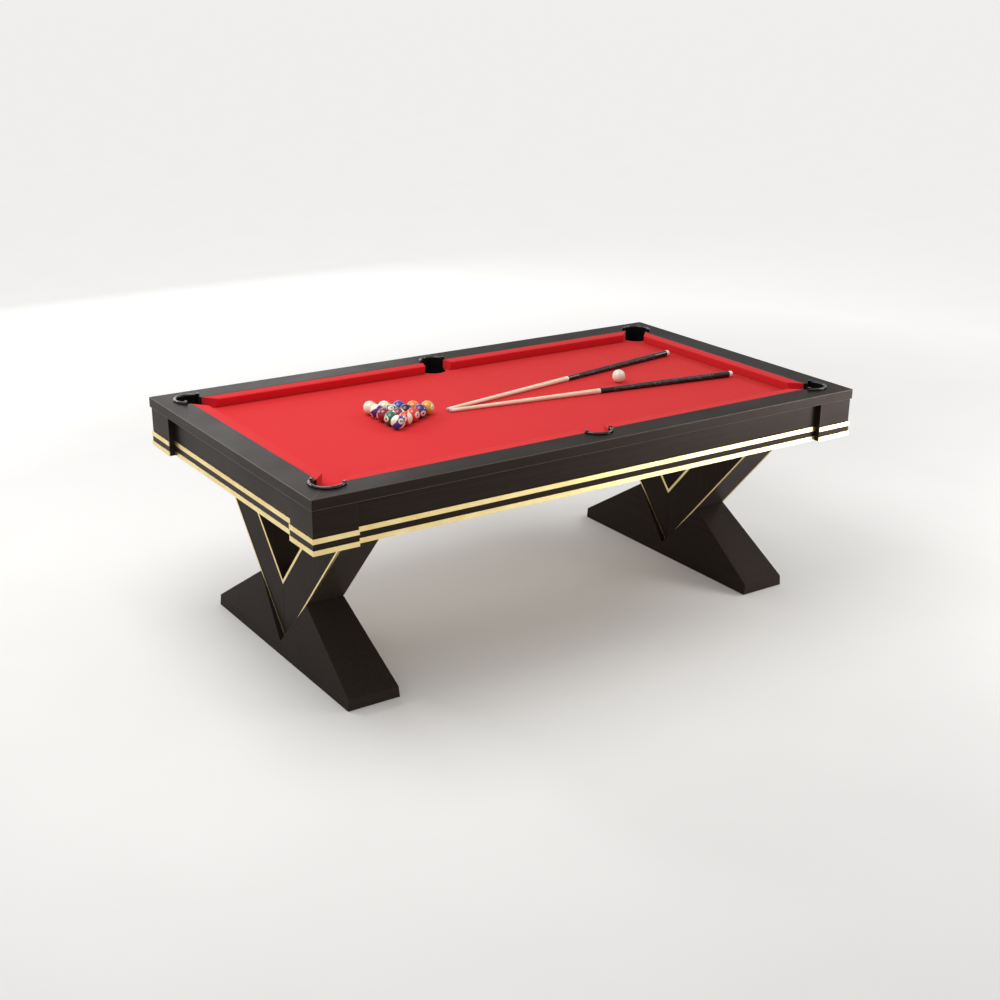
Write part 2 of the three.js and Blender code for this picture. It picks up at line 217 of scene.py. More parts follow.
# %% Satin lacquer over oak veneer
def lacquer(name, grain_axis, body=("#1e1815", "#26201c"), polish=0.10):
    """Grain runs along one axis: streaks some 4 mm wide and 300 mm long, drawn coarse to show."""
    fixed = {"IOR": 1.5, "Specular IOR Level": polish, "Specular Tint": to_linear("#ffdccb")}
    material, shader, place = start_material(name, fixed)
    streak_scale = [250, 250, 250]
    streak_scale["xyz".index(grain_axis)] = 3.3
    stretched = add_node(
        material, "ShaderNodeMapping", {}, {"Vector": place, "Scale": streak_scale}
    ).outputs["Vector"]
    streaks = add_node(
        material, "ShaderNodeTexNoise", {},
        {"Vector": stretched, "Scale": 1, "Detail": 4, "Roughness": 0.6},
    ).outputs["Fac"]
    clouds = add_node(
        material, "ShaderNodeTexNoise", {}, {"Vector": place, "Scale": 5, "Detail": 3}
    ).outputs["Fac"]
    ripple = add_node(
        material, "ShaderNodeTexNoise", {}, {"Vector": place, "Scale": 160, "Detail": 2}
    ).outputs["Fac"]
    grain = span(material, streaks, 0.35, 0.65, 0, 1)
    colour = blend_colours(material, grain, *[to_linear(shade) for shade in body])
    sheen = span(material, clouds, 0.3, 0.7, 0.34, 0.42)
    film = add_node(
        material, "ShaderNodeBump", {}, {"Strength": 0.06, "Distance": 0.0004, "Height": ripple}
    ).outputs["Normal"]
    pores = add_node(
        material, "ShaderNodeBump", {},
        {"Strength": 0.06, "Distance": 0.0003, "Height": streaks, "Normal": film},
    ).outputs["Normal"]
    wire(material, shader, {"Base Color": colour, "Roughness": sheen, "Normal": pores})
    return material


LACQUER_X = lacquer("satin_lacquer_grain_x", "x")
LACQUER_Y = lacquer("satin_lacquer_grain_y", "y")
# The pedestals are sprayed flatter than the top, so they shine less; their paler colour is painted
# light from the front.
PEDESTAL_PAINTED_LIGHT_SHADES = ("#2a2420", "#322b27")
LACQUER_FOOT = lacquer("flat_lacquer_painted_light_grain_y", "y", PEDESTAL_PAINTED_LIGHT_SHADES, 0.03)
LACQUER_ARM = lacquer("flat_lacquer_painted_light_grain_z", "z", PEDESTAL_PAINTED_LIGHT_SHADES, 0.03)
# On an arris the lacquer is painted paler, a painted highlight along the edge, and made glossier so
# it catches the lamps.
ARRIS_HIGHLIGHT_SHADES = ("#3a332e", "#4a423c")
ARRIS_HIGHLIGHT_X = lacquer("lacquer_edge_painted_highlight_x", "x", ARRIS_HIGHLIGHT_SHADES, 0.6)
ARRIS_HIGHLIGHT_Y = lacquer("lacquer_edge_painted_highlight_y", "y", ARRIS_HIGHLIGHT_SHADES, 0.6)

# %% [markdown]
# ### Worsted cloth
#
# The bed and cushions wear a worsted wool and nylon cloth, dyed red. It is woven tightly and
# sheared, so it has hardly any thread pattern, but fibres stand up enough to catch light at low
# angles. A plain matt red looks like paint. A sheen layer gives the soft bloom, a fine twill
# gives it scale, and slow clouds of colour are the marks that hands and chalk leave.

# %% Red worsted cloth
def worsted(name, deep, bright):
    fixed = {
        "Roughness": 0.92, "IOR": 1.45, "Specular IOR Level": 0.25,
        "Sheen Weight": 0.15, "Sheen Roughness": 0.45, "Sheen Tint": to_linear("#ffc9a0"),
    }
    material, shader, place = start_material(name, fixed)
    # Real threads are 0.3 mm apart. The twill is drawn at 1.2 mm so that it shows.
    twill = add_node(
        material, "ShaderNodeTexWave", {"bands_direction": "DIAGONAL"},
        {"Vector": place, "Scale": 130, "Distortion": 2.0, "Detail": 2, "Detail Scale": 3},
    ).outputs["Fac"]
    fibres = add_node(
        material, "ShaderNodeTexNoise", {}, {"Vector": place, "Scale": 900, "Detail": 3}
    ).outputs["Fac"]
    clouds = add_node(
        material, "ShaderNodeTexNoise", {}, {"Vector": place, "Scale": 3.2, "Detail": 4}
    ).outputs["Fac"]
    speckled = blend_colours(
        material, span(material, fibres, 0.3, 0.7, 0, 1), to_linear(deep), to_linear(bright)
    )
    worn = blend_colours(
        material, span(material, clouds, 0.35, 0.7, 0, 0.22), speckled, to_linear(bright)
    )
    weave = add_node(
        material, "ShaderNodeBump", {}, {"Strength": 0.12, "Distance": 0.0004, "Height": twill}
    ).outputs["Normal"]
    nap = add_node(
        material, "ShaderNodeBump", {},
        {"Strength": 0.35, "Distance": 0.0005, "Height": fibres, "Normal": weave},
    ).outputs["Normal"]
    wire(material, shader, {"Base Color": worn, "Normal": nap})
    return material


BED_CLOTH = worsted("worsted_cloth_bed", "#cb1a27", "#da222d")
CUSHION_CLOTH = worsted("worsted_cloth_cushions", "#cb1a27", "#da222d")

# %% [markdown]
# ### Gold anodised aluminium
#
# The bright lines are strips of extruded aluminium, brushed along their length and anodised a
# pale gold. Anodising keeps the brush marks, so the highlight is drawn out sideways. It is a true
# metal, so the base colour is the colour of its reflection.

# %% Brushed, pale gold strips
def gold_strip(name, along):
    material, shader, place = start_material(name, {"Metallic": 1})
    # Brush lines are 0.1 mm apart. They are drawn at 0.8 mm.
    brush_scale = [1250, 1250, 1250]
    brush_scale["xyz".index(along)] = 8
    stretched = add_node(
        material, "ShaderNodeMapping", {}, {"Vector": place, "Scale": brush_scale}
    ).outputs["Vector"]
    lines = add_node(
        material, "ShaderNodeTexNoise", {}, {"Vector": stretched, "Scale": 1, "Detail": 2}
    ).outputs["Fac"]
    tarnish = add_node(
        material, "ShaderNodeTexNoise", {}, {"Vector": place, "Scale": 14, "Detail": 3}
    ).outputs["Fac"]
    colour = blend_colours(
        material, span(material, tarnish, 0.3, 0.7, 0, 1),
        to_linear("#e9cf8e"), to_linear("#f3dfa6"),
    )
    roughness = span(material, lines, 0.3, 0.7, 0.26, 0.40)
    scratches = add_node(
        material, "ShaderNodeBump", {}, {"Strength": 0.15, "Distance": 0.0002, "Height": lines}
    ).outputs["Normal"]
    wire(
        material, shader,
        {"Base Color": colour, "Roughness": roughness, "Normal": scratches},
    )
    return material


GOLD_X = gold_strip("gold_anodised_aluminium_x", "x")
GOLD_Y = gold_strip("gold_anodised_aluminium_y", "y")
GOLD_Z = gold_strip("gold_anodised_aluminium_z", "z")

# %% [markdown]
# ### Pocket rubber, board and deal
#
# The pocket irons are covered in moulded black rubber, polished by hands on top. The cups below
# are matt. Nobody sees the bed board and the beams unless they crawl underneath: the board is
# pressed wood chips, and the beams are planed deal with its growth rings.

# %% Moulded rubber
def rubber(name, colours, gloss, coat, specular=0.5):
    fixed = {
        "IOR": 1.52, "Specular IOR Level": specular,
        "Coat Weight": coat, "Coat Roughness": 0.1,
    }
    material, shader, place = start_material(name, fixed)
    pebble = add_node(
        material, "ShaderNodeTexNoise", {}, {"Vector": place, "Scale": 420, "Detail": 3}
    ).outputs["Fac"]
    rubbed = add_node(
        material, "ShaderNodeTexNoise", {}, {"Vector": place, "Scale": 38, "Detail": 3}
    ).outputs["Fac"]
    colour = blend_colours(
        material, span(material, rubbed, 0.3, 0.7, 0, 1), *[to_linear(c) for c in colours]
    )
    roughness = span(material, rubbed, 0.3, 0.7, gloss, gloss + 0.14)
    grain = add_node(
        material, "ShaderNodeBump", {}, {"Strength": 0.1, "Distance": 0.0003, "Height": pebble}
    ).outputs["Normal"]
    wire(material, shader, {"Base Color": colour, "Roughness": roughness, "Normal": grain})
    return material


RIM_RUBBER = rubber("polished_rubber", ("#080808", "#121110"), 0.12, 0.5)
CUP_RUBBER = rubber("matt_rubber", ("#020202", "#050505"), 0.7, 0.0, 0.12)


# %% Chipboard and deal
def chipboard():
    material, shader, place = start_material("chipboard", {"Roughness": 0.85, "IOR": 1.5})
    # Chips are 2 to 6 mm across.
    chips = add_node(
        material, "ShaderNodeTexVoronoi", {}, {"Vector": place, "Scale": 240, "Randomness": 1}
    )
    shade = add_node(
        material, "ShaderNodeSeparateColor", {}, {"Color": chips.outputs["Color"]}
    ).outputs["Red"]
    colour = blend_colours(material, shade, to_linear("#8d6f4b"), to_linear("#c2a277"))
    dents = add_node(
        material, "ShaderNodeBump", {},
        {"Strength": 0.3, "Distance": 0.0006, "Height": chips.outputs["Distance"]},
    ).outputs["Normal"]
    wire(material, shader, {"Base Color": colour, "Normal": dents})
    return material


def long_grain(name, light, dark, ring_scale, stretch, roughness):
    """Timber whose grain runs along Y: wavy rings, squeezed hard across the grain."""
    material, shader, place = start_material(name, {"Roughness": roughness, "IOR": 1.5})
    squeezed = add_node(
        material, "ShaderNodeMapping", {}, {"Vector": place, "Scale": (1, stretch, 1)}
    ).outputs["Vector"]
    rings = add_node(
        material, "ShaderNodeTexWave", {"wave_type": "RINGS", "rings_direction": "Y"},
        {"Vector": squeezed, "Scale": ring_scale, "Distortion": 5, "Detail": 3},
    ).outputs["Fac"]
    fibres = add_node(
        material, "ShaderNodeTexNoise", {},
        {"Vector": squeezed, "Scale": ring_scale * 12, "Detail": 3},
    ).outputs["Fac"]
    figure = add_node(
        material, "ShaderNodeMath", {"operation": "MULTIPLY"}, {0: rings, 1: fibres}
    ).outputs[0]
    colour = blend_colours(
        material, span(material, figure, 0.05, 0.6, 0, 1), to_linear(light), to_linear(dark)
    )
    raised = add_node(
        material, "ShaderNodeBump", {}, {"Strength": 0.1, "Distance": 0.0003, "Height": fibres}
    ).outputs["Normal"]
    wire(material, shader, {"Base Color": colour, "Normal": raised})
    return material


CHIPBOARD = chipboard()
DEAL = long_grain("planed_deal", "#c9a877", "#9a733f", 22, 0.05, 0.7)
print("materials so far:", len(bpy.data.materials))

# %% [markdown]
# ## Tools for shapes
#
# Nearly everything here is sawn from flat stock, so one helper does most of the work: it takes an
# outline, gives it thickness, and eases every sharp edge with a Bevel modifier. A real edge is
# never perfectly sharp, and the thin highlight along it is what makes a box look made.

# %% Arcs and outlines
def arc(centre, radius, start, end, step=4.0):
    """Points on an arc, from start to end degrees."""
    count = max(2, math.ceil(abs(end - start) / step) + 1)
    angles = [math.radians(start + (end - start) * i / (count - 1)) for i in range(count)]
    return [
        (centre[0] + radius * math.cos(a), centre[1] + radius * math.sin(a)) for a in angles
    ]


def eased(outline, radii, steps=3):
    """Round the corners of an outline. radii has one radius for each point."""
    points = []
    for i, (corner, radius) in enumerate(zip(outline, radii)):
        here = Vector(corner)
        if radius == 0:
            points.append(tuple(here))
            continue
        before = (Vector(outline[i - 1]) - here).normalized()
        after = (Vector(outline[(i + 1) % len(outline)]) - here).normalized()
        half = before.angle(after) / 2
        reach = radius / math.tan(half)
        centre = here + (before + after).normalized() * (radius / math.sin(half))
        first = here + before * reach - centre
        last = here + after * reach - centre
        for k in range(steps + 1):
            arm = first.lerp(last, k / steps).normalized() * radius
            points.append(tuple(centre + arm))
    return points


def flat_area(outline):
    pairs = zip(outline, outline[1:] + outline[:1])
    return abs(sum(x0 * y1 - x1 * y0 for (x0, y0), (x1, y1) in pairs)) / 2


# %% Turn outlines into solids
def add_prism(bm, outline, low, high, lay=lambda x, y, z: (x, y, z)):
    """Add a closed slab to bm. lay puts each outline point and level where it belongs."""
    bottom = [bm.verts.new(lay(x, y, low)) for x, y in outline]
    top = [bm.verts.new(lay(x, y, high)) for x, y in outline]
    bm.faces.new(bottom[::-1])
    bm.faces.new(top)
    for i in range(len(outline)):
        j = (i + 1) % len(outline)
        bm.faces.new((bottom[i], bottom[j], top[j], top[i]))


def add_loft(bm, rings):
    """Add a closed solid through rings of points, with a face over each end."""
    grid = [[bm.verts.new(point) for point in ring] for ring in rings]
    for first, second in zip(grid, grid[1:]):
        for i in range(len(first)):
            j = (i + 1) % len(first)
            bm.faces.new((first[i], first[j], second[j], second[i]))
    bm.faces.new(grid[0][::-1])
    bm.faces.new(grid[-1])


def across(x, y, z):
    """Lay a slab on its side: the outline is (y, z) and the level is x."""
    return (z, x, y)


def finish_mesh(bm, name, turn=0, move=(0, 0, 0)):
    """Turn and move the shape, scale it to metres, and hand it over with smooth shading."""
    place = Matrix.Translation(Vector(move) * MM) @ Matrix.Rotation(math.radians(turn), 4, "Z")
    bm.transform(place @ Matrix.Scale(MM, 4))
    bmesh.ops.recalc_face_normals(bm, faces=bm.faces)
    mesh = bpy.data.meshes.new(name)
    bm.to_mesh(mesh)
    bm.free()
    mesh.shade_smooth()
    return mesh


def add_piece(name, mesh, material, body="table", replaces=(), bevel=0, segments=3):
    """Put a finished mesh into the table: its material, its body and what it stands for."""
    piece = bpy.data.objects.new(name, mesh)
    bpy.context.scene.collection.objects.link(piece)
    mesh.materials.append(material)
    if bevel:
        edges = piece.modifiers.new("eased_edges", "BEVEL")
        edges.width = bevel * MM
        edges.segments = segments
        edges.limit_method = "ANGLE"
        edges.angle_limit = math.radians(32)
        edges.harden_normals = True
        edges.use_clamp_overlap = False
    else:
        mesh.set_sharp_from_angle(angle=math.radians(35))
    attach(piece, body)
    if replaces:
        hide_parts(*replaces)
    return piece


def add_board(name, outline, levels, material, node, bevel, turn=0, segments=3):
    """Saw a flat board from an outline, between two levels, and put it into the table."""
    bm = bmesh.new()
    add_prism(bm, outline, *levels)
    mesh = finish_mesh(bm, name, turn)
    return add_piece(name, mesh, material, replaces=[node], bevel=bevel, segments=segments)


# %% [markdown]
# ## Top rails
#
# Four flat boards lie on the cabinet and are mitred at the corners, like a picture frame. The
# pocket rims are let into them, so each rail ends in a round seat. The outline is drawn once with
# true arcs. The other way, cutting cylinders out with booleans, leaves a ragged edge that a bevel
# can't follow.

# %% Draw a rail's outline
def corner_of_rail(half):
    """One end of a rail, in its own frame: along it, and inwards from its outer edge."""
    centre = (-half + CORNER["inset"], CORNER["inset"])
    seat = CORNER["rim"] + GAP
    seat_end = math.degrees(math.acos((CORNER["open"] + GAP) / seat))
    bore_end = math.degrees(math.acos((CORNER["open"] + GAP) / CORNER["bore"]))
    edge = math.degrees(math.asin((CORNER["inset"] - RAIL_WIDTH) / CORNER["bore"]))
    return (
        [(-half + GAP, 0)]
        + arc(centre, seat, 225.25, 405 - seat_end, 3)
        + arc(centre, CORNER["bore"], 405 - bore_end, 360 - edge, 3)
    )


def rail_outline(side):
    left = corner_of_rail(side["half"])
    right = [(-x, y) for x, y in reversed(left)]
    middle = []
    if side["kind"] == "long":
        seat = MIDDLE["rim"] + GAP
        edge = math.degrees(math.asin((MIDDLE["inset"] - RAIL_WIDTH) / seat))
        middle = arc((0, MIDDLE["inset"]), seat, 180 + edge, 360 - edge, 3)
    return [(x, y - side["out"]) for x, y in left + middle + right]


# %% Make the four rails
for side in SIDES:
    is_long = side["kind"] == "long"
    rail = add_board(
        f"top_rail_{side['name']}", rail_outline(side), (RAIL_BOTTOM, RAIL_TOP),
        LACQUER_X if is_long else LACQUER_Y, f"rail_{side['name']}", 2.2, side["turn"],
    )
    # The eased edges take the paler copy: a painted highlight along each arris.
    rail.data.materials.append(ARRIS_HIGHLIGHT_X if is_long else ARRIS_HIGHLIGHT_Y)
    rail.modifiers["eased_edges"].material = 1
print("rails made")

# %% [markdown]
# ## Cushions
#
# A cushion is a strip of rubber, triangular in section, glued under the rail's inner edge with
# the cloth pulled over it. The nose is rounded by the cloth, the top falls a little towards the
# rail, and the ends are cut at a slant so that a ball rolls into the pocket. Cloth simulation
# would add nothing, because the cloth is stapled tight over hard rubber. A loft between the two
# slanted ends gives the same shape at once.

# %% Draw a cushion's section
NOSE_Z = PLAY_Z + NOSE_HEIGHT
CUSHION_SECTION = eased(
    [
        (GAP, RAIL_BOTTOM),
        (36, RAIL_BOTTOM),
        (CUSHION_REACH - 1, NOSE_Z - 3.6),
        (CUSHION_REACH, NOSE_Z),
        (CUSHION_REACH - 3, NOSE_Z + 2.8),
        (GAP, RAIL_TOP - 0.6),
    ],
    [0, 3, 2, 2.2, 5, 0],
)


def cushion_mesh(name, side, start, end):
    """A cushion between two facings, each given by its place at the nose and at the rail."""
    rings = []
    for facing in (start, end):
        nose, rail = facing
        ring = []
        for reach, z in CUSHION_SECTION:
            along = rail + (nose - rail) * reach / CUSHION_REACH
            ring.append((along, RAIL_WIDTH + reach - side["out"], z))
        rings.append(ring)
    bm = bmesh.new()
    add_loft(bm, rings)
    return finish_mesh(bm, name, side["turn"])


# %% Make the six cushions
for side in SIDES:
    nose = CORNER_NOSE[side["kind"]]
    corner = (nose, nose + CORNER_SLANT)
    middle = (MIDDLE_NOSE, MIDDLE_NOSE - MIDDLE_SLANT)
    spans = {"": [(-corner[0], -corner[1]), corner]}
    if side["kind"] == "long":
        spans = {
            "_1": [(-corner[0], -corner[1]), (-middle[0], -middle[1])],
            "_2": [middle, corner],
        }
    for suffix, (start, end) in spans.items():
        node = f"cushion_{side['name']}{suffix}"
        mesh = cushion_mesh(f"covered_{node}", side, start, end)
        piece = add_piece(mesh.name, mesh, CUSHION_CLOTH, replaces=[node], bevel=2.4)
print("cushion nose at", round(NOSE_Z, 1), "mm")

# %% [markdown]
# ## Bed board and cloth
#
# The playing surface is one sheet of cloth pulled tight over a thick board and stapled below its
# edges. It is notched where the pockets are. It lies dead flat, so it is drawn as a thin sheet of
# its true thickness, with the cut edges rolled over where they meet a pocket.

# %% Draw the bed's outline
def bed_outline():
    """The bed, notched at the six pockets, going round from the front left pocket."""
    half_x, half_y = cloth_high.x, cloth_high.y
    corner_x, corner_y = HALF_LENGTH - CORNER["inset"], HALF_WIDTH - CORNER["inset"]
    notch = CORNER["bore"] + POCKET_WALL + GAP
    slot = MIDDLE["bore"] + POCKET_WALL + GAP
    middle_y = HALF_WIDTH - MIDDLE["inset"]
    front = (
        [(-half_x, -corner_y + notch)]
        + arc((-corner_x, -corner_y), notch, 90, 0)
        + [(-corner_x + notch, -half_y), (-slot, -half_y)]
        + arc((0, -middle_y), slot, 180, 0)
        + [(slot, -half_y), (corner_x - notch, -half_y)]
        + arc((corner_x, -corner_y), notch, 180, 90)
        + [(half_x, -corner_y + notch)]
    )
    return front + [(-x, -y) for x, y in front]


# %% Make the board and the cloth
add_board(
    "pressed_bed_board", bed_outline(), (board_low.z, board_high.z),
    CHIPBOARD, "bed_board", 0.8, segments=2,
)
bed_cloth = add_board(
    "stretched_bed_cloth", bed_outline(), (cloth_low.z, cloth_high.z),
    BED_CLOTH, "bed_cloth", 0.6,
)
flat_area(bed_outline()) * MM * MM

# %% [markdown]
# ## Pockets
#
# Each pocket is a moulded rubber horseshoe let into the rails, with a round cup below it. The
# horseshoe is fat and rounded, so it is a section swept round an arc, and its two ends are raised
# square lugs that carry the screws. The cup is turned, so it is a lathe shape with thickness.

# %% Sweep the horseshoe and turn the cup
def horseshoe_section(kind):
    """A rounded ridge with a step below it that sits over the cup's wall."""
    bore, rim = kind["bore"], kind["rim"]
    middle, half = (bore + rim) / 2, (rim - bore) / 2
    dome = arc((middle, RAIL_TOP + RIM_RISE - half), half, 0, 180, 15)
    step = bore + POCKET_WALL
    return [(step, RAIL_BOTTOM + GAP), (rim, RAIL_BOTTOM + GAP)] + dome + [
        (bore, PLAY_Z - 2), (step, PLAY_Z - 2)
    ]


def add_horseshoe(bm, kind):
    """Every point stops on the same plane, so the two ends come out flat."""
    section = horseshoe_section(kind)
    steps = 56
    rings = []
    for i in range(steps + 1):
        ring = []
        for r, z in section:
            end = math.acos(kind["open"] / r)
            angle = end + (2 * math.pi - 2 * end) * i / steps
            ring.append((r * math.cos(angle), r * math.sin(angle), z))
        rings.append(ring)
    add_loft(bm, rings)


def add_lugs(bm, kind):
    """The squared ends, a little narrower towards the field."""
    x0, x1 = kind["open"] - RIM_END["length"], kind["open"]
    y0, y1 = kind["bore"] - 1, kind["rim"] - 2.3
    for sign in (-1, 1):
        outline = [(x0, y0), (x1, y0 + 0.4), (x1, y1 - 0.4), (x0, y1)]
        outline = [(x, sign * y) for x, y in outline]
        add_prism(bm, outline, RAIL_TOP - 20, RAIL_TOP + RIM_END["rise"])


def add_turned(bm, profile, steps):
    """Turn a closed profile of (radius, height) points about Z. It starts and ends at radius 0."""
    rings = []
    for r, z in profile:
        if r == 0:
            rings.append([bm.verts.new((0, 0, z))])
            continue
        turns = [2 * math.pi * i / steps for i in range(steps)]
        rings.append([bm.verts.new((r * math.cos(a), r * math.sin(a), z)) for a in turns])
    for first, second in zip(rings, rings[1:]):
        for i in range(steps):
            j = (i + 1) % steps
            corners = [first[i % len(first)], first[j % len(first)]]
            corners += [second[j % len(second)], second[i % len(second)]]
            unique = list(dict.fromkeys(corners))
            bm.faces.new(unique)


def cup_profile(kind):
    bore, wall = kind["bore"], kind["bore"] + POCKET_WALL
    floor = POCKET_FLOOR + POCKET_WALL
    lip = PLAY_Z - 1.8
    inside = [(bore, lip - 1.5)] + [
        (bore - 12 + x, floor + 12 + y) for x, y in arc((0, 0), 12, 0, -90, 15)
    ]
    outside = [(0, POCKET_FLOOR), (wall - 8, POCKET_FLOOR)] + [
        (wall - 8 + x, POCKET_FLOOR + 8 + y) for x, y in arc((0, 0), 8, -75, 0, 15)
    ]
    return outside + [(wall, lip - 1.5), (wall - 0.6, lip), (bore + 0.6, lip)] + inside + [(0, floor)]


# %% Make the six pockets
def make_pocket(name, kind, centre, inward):
    node = f"pocket_{name}"
    bm = bmesh.new()
    add_horseshoe(bm, kind)
    for face in bm.faces:
        face.material_index = 1 if face.calc_center_median().z < RAIL_TOP else 0
    add_lugs(bm, kind)
    mesh = finish_mesh(bm, f"{node}_rim", inward, centre)
    add_piece(mesh.name, mesh, RIM_RUBBER, replaces=[node], bevel=1.6)
    mesh.materials.append(CUP_RUBBER)
    bm = bmesh.new()
    add_turned(bm, cup_profile(kind), 64)
    mesh = finish_mesh(bm, f"{node}_cup", inward, centre)
    add_piece(mesh.name, mesh, CUP_RUBBER, replaces=[node])


for name, (sx, sy) in CORNERS.items():
    centre = (sx * (HALF_LENGTH - CORNER["inset"]), sy * (HALF_WIDTH - CORNER["inset"]), 0)
    make_pocket(name, CORNER, centre, math.degrees(math.atan2(-sy, -sx)))
for name, sy in {"front_middle": -1, "back_middle": 1}.items():
    make_pocket(name, MIDDLE, (0, sy * (HALF_WIDTH - MIDDLE["inset"]), 0), -90 * sy)
print("pockets made")

# %% [markdown]
# ## Cabinet
#
# Under the rails, an apron board runs along each side between four corner blocks that stand
# proud of it. All are flat boards with eased edges, and the blocks turn the corner, so they are
# L-shaped in plan.

# %% Make the aprons and the corner blocks
for side in SIDES:
    half = side["half"] - BLOCK_INSET - BLOCK_LENGTH - GAP
    face = APRON_INSET - side["out"]
    back = face + APRON_THICKNESS
    outline = [(-half, face), (half, face), (half, back), (-half, back)]
    grain = LACQUER_X if side["kind"] == "long" else LACQUER_Y
    add_board(
        f"apron_board_{side['name']}", outline, (SKIRT_BOTTOM, PLAY_Z),
        grain, f"apron_{side['name']}", 1.2, side["turn"],
    )


def corner_outline(signs, outer, inner):
    """An L round a corner. outer and inner are depths from the block's outer faces."""
    x, y = HALF_LENGTH - BLOCK_INSET, HALF_WIDTH - BLOCK_INSET
    outline = [
        (x - outer, y - outer),
        (x - BLOCK_LENGTH, y - outer),
        (x - BLOCK_LENGTH, y - inner),
        (x - inner, y - inner),
        (x - inner, y - BLOCK_LENGTH),
        (x - outer, y - BLOCK_LENGTH),
    ]
    return [(signs[0] * px, signs[1] * py) for px, py in outline]


BLOCK_DEPTH = APRON_INSET - BLOCK_INSET + APRON_THICKNESS
for name, signs in CORNERS.items():
    add_board(
        f"block_{name}", corner_outline(signs, 0, BLOCK_DEPTH), (SKIRT_BOTTOM, PLAY_Z),
        LACQUER_X, f"corner_block_{name}", 1.4,
    )
print("cabinet made")

# %% [markdown]
# ## Gold lines round the cabinet
#
# Two gold strips run right round the bottom of the cabinet, with a dark band between them. Each
# is a separate extrusion with a small edge radius, and they step out around the corner blocks.

# %% Lay the strips
TRIM_LEVELS = {
    "lower": (SKIRT_BOTTOM, SKIRT_BOTTOM + TRIM["lip_height"]),
    "upper": (SKIRT_BOTTOM + TRIM["height"] - TRIM["lip_height"], SKIRT_BOTTOM + TRIM["height"]),
}
BAND_LEVELS = (TRIM_LEVELS["lower"][1] + 0.1, TRIM_LEVELS["upper"][0] - 0.1)


def add_trim(name, node, outline_at, turn, gold, dark):
    """Two strips and the band between them. outline_at(depth) is the outline of a strip."""
    strip = outline_at(TRIM["lip"])
    for place, levels in TRIM_LEVELS.items():
        add_board(f"{name}_{place}", strip, levels, gold, node, 0.5, turn, 2)
    band = outline_at(TRIM["web"])
    add_board(f"{name}_band", band, BAND_LEVELS, dark, node, 0.2, turn, 1)


for side in SIDES:
    half = side["half"] - BLOCK_INSET - BLOCK_LENGTH - 2 * GAP
    back = APRON_INSET - GAP - side["out"]
    is_long = side["kind"] == "long"

    def strip_outline(depth, half=half, back=back):
        return [(-half, back - depth), (half, back - depth), (half, back), (-half, back)]

    add_trim(
        f"gold_line_{side['name']}", f"trim_{side['name']}", strip_outline, side["turn"],
        GOLD_X if is_long else GOLD_Y, LACQUER_X if is_long else LACQUER_Y,
    )
for name, signs in CORNERS.items():

    def corner_strip_outline(depth, signs=signs):
        return corner_outline(signs, -GAP - depth, -GAP)

    add_trim(
        f"gold_line_{name}", f"corner_trim_{name}", corner_strip_outline, 0,
        GOLD_X, LACQUER_X,
    )
print("gold lines made")

# %% [markdown]
# ## Pedestals
#
# Each end stands on a long foot with sloping ends. Two arms rise from a notch in it and form a V
# that carries the bed beam. The foot's faces lean in a little, and gold strips edge both sides of
# the V. On the outer edges the strip folds round onto the side of the arm.

# %% Sizes of the pedestals
FOOT = {"half_length": 510, "end": 40, "peak": 252, "half_bottom": 98, "half_peak": 71.5}
ARM = {"half": 71.5, "outer_apex": 50, "inner_apex": 278, "top": 640}
ARM_SLOPE = (SKIRT_BOTTOM - ARM["outer_apex"]) / FOOT["half_length"]
EDGING = {"outer": 5.5, "inner": 10, "fold": 9, "proud": 1.5}
RISE_PER_WIDTH = math.hypot(1, ARM_SLOPE)
PEAK_Y = (FOOT["peak"] - ARM["outer_apex"]) / ARM_SLOPE
ARM_CORE = ARM["half"] - EDGING["proud"]
PEDESTALS = {"left": -870, "right": 870}
print("arm slope", round(ARM_SLOPE, 3))


# %% Make the feet
def add_foot(bm, x):
    notch = GAP * RISE_PER_WIDTH + 0.1
    outline = [
        (-FOOT["half_length"], 0),
        (FOOT["half_length"], 0),
        (FOOT["half_length"], FOOT["end"]),
        (PEAK_Y, FOOT["peak"] - notch),
        (0, ARM["outer_apex"] - notch),
        (-PEAK_Y, FOOT["peak"] - notch),
        (-FOOT["half_length"], FOOT["end"]),
    ]

    def leaning(y, z, side):
        half = FOOT["half_bottom"] + (FOOT["half_peak"] - FOOT["half_bottom"]) * z / FOOT["peak"]
        return (x + side * half, y, z)

    add_prism(bm, outline, -1, 1, leaning)


for name, x in PEDESTALS.items():
    bm = bmesh.new()
    add_foot(bm, x)
    mesh = finish_mesh(bm, f"pedestal_foot_{name}")
    add_piece(mesh.name, mesh, LACQUER_FOOT, replaces=[f"foot_{name}"], bevel=1.8)


# %% Make the arms and their gold edging
def band_outline(sy, low_apex, high_apex, start=GAP / 2):
    """A strip parallel to the arm's edges, from y = start up to the arm's top."""
    def height(apex, y):
        return apex + ARM_SLOPE * y

    def reach(apex):
        return (ARM["top"] - apex) / ARM_SLOPE

    outline = [
        (start, height(low_apex, start)),
        (reach(low_apex), ARM["top"]),
        (reach(high_apex), ARM["top"]),
        (start, height(high_apex, start)),
    ]
    return [(sy * y, z) for y, z in outline]


